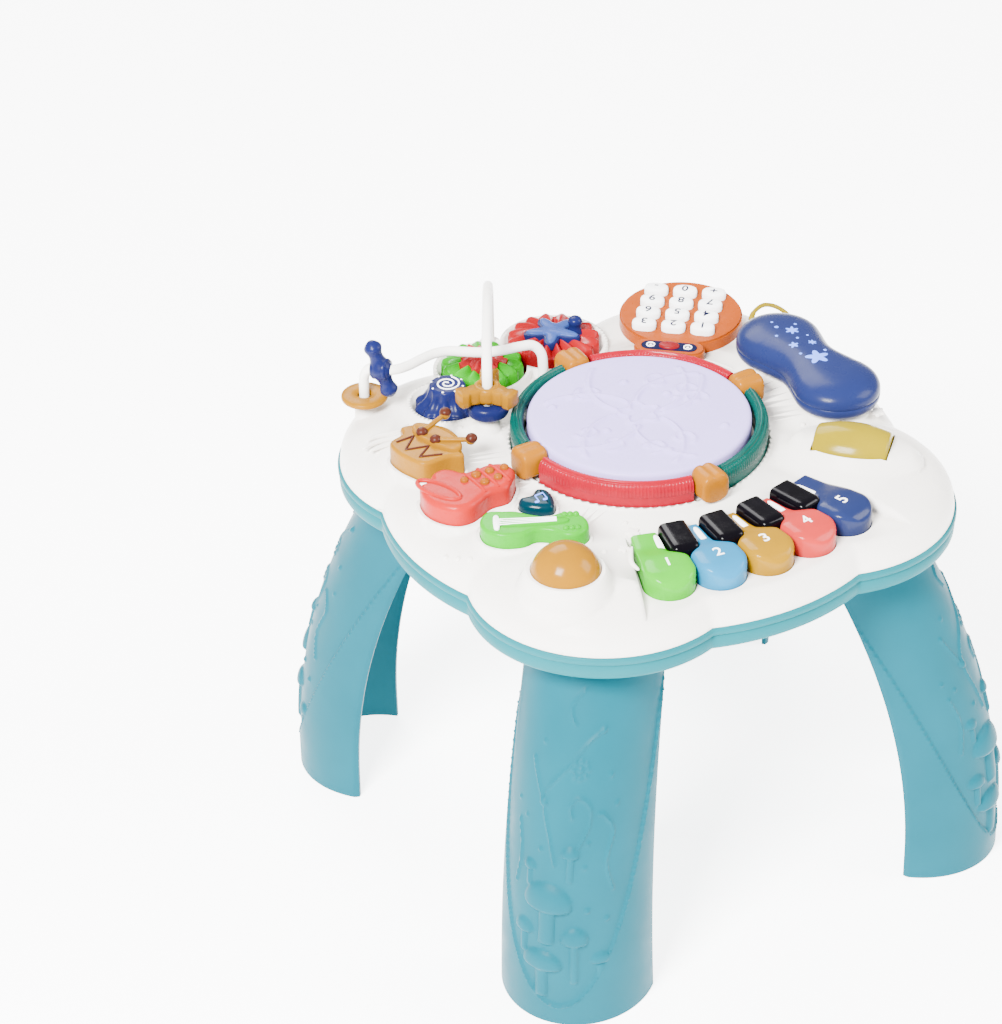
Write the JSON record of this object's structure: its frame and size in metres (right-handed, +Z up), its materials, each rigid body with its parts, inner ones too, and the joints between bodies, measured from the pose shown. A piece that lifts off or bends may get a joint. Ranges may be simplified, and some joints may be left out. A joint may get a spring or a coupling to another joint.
{
  "type": "musical activity table",
  "caption": "Lobed play table on splayed legs, with a drum, a fan of piano keys, meshing gears, a push-button dial, bead rails, picture buttons, a roller, a ball and a corded handset.",
  "frame": {"origin": "on the floor under the middle of the top", "axes": "+Z up, piano keys at -Y, gears and dial at +Y, handset at +X, drum picture button at -X"},
  "size_m": [0.3754, 0.3724, 0.3553],
  "materials": {
    "cover_white": "glossy moulded plastic",
    "tray_teal": "satin moulded plastic",
    "leg_teal": "satin moulded plastic",
    "screw_steel": "plated steel",
    "cell_dark": "sleeved metal can",
    "contact_steel": "plated spring steel",
    "speaker_black": "dark basket and cone",
    "board_green": "circuit board",
    "board_white": "white circuit board",
    "switch_black": "satin moulded plastic",
    "drum_white": "translucent white plastic",
    "tube_red": "clear coloured plastic",
    "tube_green": "clear coloured plastic",
    "clip_orange": "glossy moulded plastic",
    "key_green": "glossy moulded plastic",
    "key_light_blue": "glossy moulded plastic",
    "key_orange": "glossy moulded plastic",
    "key_pink": "glossy moulded plastic",
    "key_indigo": "glossy moulded plastic",
    "key_black": "glossy moulded plastic",
    "pin_steel": "plain steel",
    "dial_coral": "glossy moulded plastic",
    "button_white": "glossy moulded plastic",
    "window_blue": "printed plastic",
    "handset_blue": "glossy moulded plastic",
    "cord_yellow": "soft moulded cord",
    "gear_red": "glossy moulded plastic",
    "gear_green": "glossy moulded plastic",
    "gear_blue": "glossy moulded plastic",
    "cap_light_blue": "glossy moulded plastic",
    "flower_pink": "glossy moulded plastic",
    "rail_white": "glossy moulded plastic",
    "bead_yellow": "glossy moulded plastic",
    "bead_blue": "glossy moulded plastic",
    "slider_orange": "glossy moulded plastic",
    "roller_yellow": "glossy moulded plastic",
    "ball_orange": "glossy moulded plastic",
    "picture_orange": "glossy moulded plastic",
    "picture_coral": "glossy moulded plastic",
    "picture_green": "glossy moulded plastic",
    "picture_teal": "glossy moulded plastic"
  },
  "bodies": {
    "table": {"top_cover": "cover_white", "base_tray": "tray_teal", "front_left_leg": "leg_teal", "front_right_leg": "leg_teal", "back_left_leg": "leg_teal", "back_right_leg": "leg_teal", "case_screws": "screw_steel", "battery_door": "tray_teal", "batteries": "cell_dark", "battery_contacts": "contact_steel", "speaker": "speaker_black", "main_board": "board_green", "light_board": "board_white", "red_light_arcs": "tube_red", "green_light_arcs": "tube_green", "ring_clips": "clip_orange", "black_keys": "key_black", "key_pins": "pin_steel", "dial_plate": "dial_coral", "dial_window": "window_blue", "handset_cord": "cord_yellow", "low_rail": "rail_white", "arch_rail": "rail_white", "roller_axle": "pin_steel"},
    "switch_knob": {"power_switch": "switch_black"},
    "drum": {"drum_head": "drum_white"},
    "key_green": {"green_key": "key_green"},
    "key_light_blue": {"light_blue_key": "key_light_blue"},
    "key_orange": {"orange_key": "key_orange"},
    "key_pink": {"pink_key": "key_pink"},
    "key_indigo": {"indigo_key": "key_indigo"},
    "handset": {"handset_top": "handset_blue", "handset_bottom": "handset_blue"},
    "red_gear_body": {"red_gear": "gear_red", "red_gear_cap": "cap_light_blue"},
    "green_gear_body": {"green_gear": "gear_green", "green_gear_flower": "flower_pink"},
    "blue_gear_body": {"blue_gear": "gear_blue"},
    "yellow_ring": {"yellow_ring_bead": "bead_yellow"},
    "blue_slide_bead": {"blue_slider": "bead_blue"},
    "orange_slide_bead": {"orange_slider": "slider_orange"},
    "blue_ring": {"blue_ring_bead": "bead_blue"},
    "roller": {"yellow_roller": "roller_yellow"},
    "ball": {"orange_ball": "ball_orange"},
    "drum_picture": {"drum_button": "picture_orange"},
    "sax_picture": {"sax_button": "picture_coral"},
    "guitar_picture": {"guitar_button": "picture_green"},
    "heart_picture": {"heart_button": "picture_teal"},
    "digit_1": {"dial_button_1": "button_white"},
    "digit_2": {"dial_button_2": "button_white"},
    "digit_3": {"dial_button_3": "button_white"},
    "digit_4": {"dial_button_4": "button_white"},
    "digit_5": {"dial_button_5": "button_white"},
    "digit_6": {"dial_button_6": "button_white"},
    "digit_7": {"dial_button_7": "button_white"},
    "digit_8": {"dial_button_8": "button_white"},
    "digit_9": {"dial_button_9": "button_white"},
    "digit_10": {"dial_button_10": "button_white"},
    "digit_11": {"dial_button_11": "button_white"},
    "digit_12": {"dial_button_12": "button_white"}
  },
  "joints": [
    {"name": "handset_lift", "type": "hinge", "parent": "table", "child": "handset", "pos_m": [0.1325, 0.0698, 0.302], "axis": [-1, 0, 0], "range_deg": [0, 35]},
    {"name": "red_gear_spin", "type": "hinge", "parent": "table", "child": "red_gear_body", "pos_m": [0.0118, 0.1337, 0.29], "axis": [0, 0, 1], "continuous": true},
    {"name": "green_gear_spin", "type": "hinge", "parent": "table", "child": "green_gear_body", "pos_m": [-0.04535, 0.1314, 0.29], "axis": [0, 0, 1], "continuous": true},
    {"name": "blue_gear_spin", "type": "hinge", "parent": "table", "child": "blue_gear_body", "pos_m": [-0.08617, 0.10678, 0.29], "axis": [0, 0, 1], "continuous": true},
    {"name": "yellow_ring_spin", "type": "hinge", "parent": "table", "child": "yellow_ring", "pos_m": [-0.131, 0.1385, 0.2944], "axis": [0, 0, 1], "continuous": true},
    {"name": "blue_slider_spin", "type": "hinge", "parent": "table", "child": "blue_slide_bead", "pos_m": [-0.1244, 0.1262, 0.3198], "axis": [0.5869, -0.8066, 0.0699], "continuous": true},
    {"name": "orange_slider_spin", "type": "hinge", "parent": "table", "child": "orange_slide_bead", "pos_m": [-0.077, 0.0695, 0.3165], "axis": [0, 0, 1], "continuous": true},
    {"name": "blue_ring_spin", "type": "hinge", "parent": "table", "child": "blue_ring", "pos_m": [-0.077, 0.0695, 0.3045], "axis": [0, 0, 1], "continuous": true},
    {"name": "roller_spin", "type": "hinge", "parent": "table", "child": "roller", "pos_m": [0.1076, -0.0816, 0.2875], "axis": [0.6947, -0.7193, 0], "continuous": true},
    {"name": "ball_roll", "type": "hinge", "parent": "table", "child": "ball", "pos_m": [-0.1259, -0.1086, 0.2933], "axis": [0.7071, 0.7071, 0], "continuous": true},
    {"name": "drum_press", "type": "slide", "parent": "table", "child": "drum", "axis": [0, 0, -1], "range_m": [0, 0.002], "stiffness_N_per_m": 900, "springref_m": -0.0015},
    {"name": "green_key_press", "type": "hinge", "parent": "table", "child": "key_green", "pos_m": [-0.05205, -0.08678, 0.2785], "axis": [0.9558, -0.294, 0], "range_deg": [0, 3.5], "stiffness_Nm_per_rad": 0.5, "springref_deg": -1.72},
    {"name": "light_blue_key_press", "type": "hinge", "parent": "table", "child": "key_light_blue", "pos_m": [-0.02632, -0.09263, 0.2785], "axis": [0.9889, -0.1487, 0], "range_deg": [0, 3.5], "stiffness_Nm_per_rad": 0.5, "springref_deg": -1.72},
    {"name": "orange_key_press", "type": "hinge", "parent": "table", "child": "key_orange", "pos_m": [0, -0.0946, 0.2785], "axis": [1, 0, 0], "range_deg": [0, 3.5], "stiffness_Nm_per_rad": 0.5, "springref_deg": -1.72},
    {"name": "pink_key_press", "type": "hinge", "parent": "table", "child": "key_pink", "pos_m": [0.02632, -0.09263, 0.2785], "axis": [0.9889, 0.1487, 0], "range_deg": [0, 3.5], "stiffness_Nm_per_rad": 0.5, "springref_deg": -1.72},
    {"name": "indigo_key_press", "type": "hinge", "parent": "table", "child": "key_indigo", "pos_m": [0.05205, -0.08678, 0.2785], "axis": [0.9558, 0.294, 0], "range_deg": [0, 3.5], "stiffness_Nm_per_rad": 0.5, "springref_deg": -1.72},
    {"name": "drum_picture_press", "type": "slide", "parent": "table", "child": "drum_picture", "axis": [0, 0, -1], "range_m": [0, 0.002], "stiffness_N_per_m": 500, "springref_m": -0.001},
    {"name": "sax_picture_press", "type": "slide", "parent": "table", "child": "sax_picture", "axis": [0, 0, -1], "range_m": [0, 0.002], "stiffness_N_per_m": 500, "springref_m": -0.001},
    {"name": "guitar_picture_press", "type": "slide", "parent": "table", "child": "guitar_picture", "axis": [0, 0, -1], "range_m": [0, 0.002], "stiffness_N_per_m": 500, "springref_m": -0.001},
    {"name": "heart_picture_press", "type": "slide", "parent": "table", "child": "heart_picture", "axis": [0, 0, -1], "range_m": [0, 0.002], "stiffness_N_per_m": 400, "springref_m": -0.001},
    {"name": "power_switch_slide", "type": "slide", "parent": "table", "child": "switch_knob", "axis": [1, 0, 0], "range_m": [-0.0025, 0.0025]},
    {"name": "digit_1_press", "type": "slide", "parent": "table", "child": "digit_1", "axis": [0, 0, -1], "range_m": [0, 0.0012], "stiffness_N_per_m": 400, "springref_m": -0.0005},
    {"name": "digit_2_press", "type": "slide", "parent": "table", "child": "digit_2", "axis": [0, 0, -1], "range_m": [0, 0.0012], "stiffness_N_per_m": 400, "springref_m": -0.0005},
    {"name": "digit_3_press", "type": "slide", "parent": "table", "child": "digit_3", "axis": [0, 0, -1], "range_m": [0, 0.0012], "stiffness_N_per_m": 400, "springref_m": -0.0005},
    {"name": "digit_4_press", "type": "slide", "parent": "table", "child": "digit_4", "axis": [0, 0, -1], "range_m": [0, 0.0012], "stiffness_N_per_m": 400, "springref_m": -0.0005},
    {"name": "digit_5_press", "type": "slide", "parent": "table", "child": "digit_5", "axis": [0, 0, -1], "range_m": [0, 0.0012], "stiffness_N_per_m": 400, "springref_m": -0.0005},
    {"name": "digit_6_press", "type": "slide", "parent": "table", "child": "digit_6", "axis": [0, 0, -1], "range_m": [0, 0.0012], "stiffness_N_per_m": 400, "springref_m": -0.0005},
    {"name": "digit_7_press", "type": "slide", "parent": "table", "child": "digit_7", "axis": [0, 0, -1], "range_m": [0, 0.0012], "stiffness_N_per_m": 400, "springref_m": -0.0005},
    {"name": "digit_8_press", "type": "slide", "parent": "table", "child": "digit_8", "axis": [0, 0, -1], "range_m": [0, 0.0012], "stiffness_N_per_m": 400, "springref_m": -0.0005},
    {"name": "digit_9_press", "type": "slide", "parent": "table", "child": "digit_9", "axis": [0, 0, -1], "range_m": [0, 0.0012], "stiffness_N_per_m": 400, "springref_m": -0.0005},
    {"name": "digit_10_press", "type": "slide", "parent": "table", "child": "digit_10", "axis": [0, 0, -1], "range_m": [0, 0.0012], "stiffness_N_per_m": 400, "springref_m": -0.0005},
    {"name": "digit_11_press", "type": "slide", "parent": "table", "child": "digit_11", "axis": [0, 0, -1], "range_m": [0, 0.0012], "stiffness_N_per_m": 400, "springref_m": -0.0005},
    {"name": "digit_12_press", "type": "slide", "parent": "table", "child": "digit_12", "axis": [0, 0, -1], "range_m": [0, 0.0012], "stiffness_N_per_m": 400, "springref_m": -0.0005}
  ],
  "couplings": [
    {"joint": "green_gear_spin", "follows": "red_gear_spin", "ratio": -1.1429},
    {"joint": "blue_gear_spin", "follows": "red_gear_spin", "ratio": 1.4545}
  ]
}
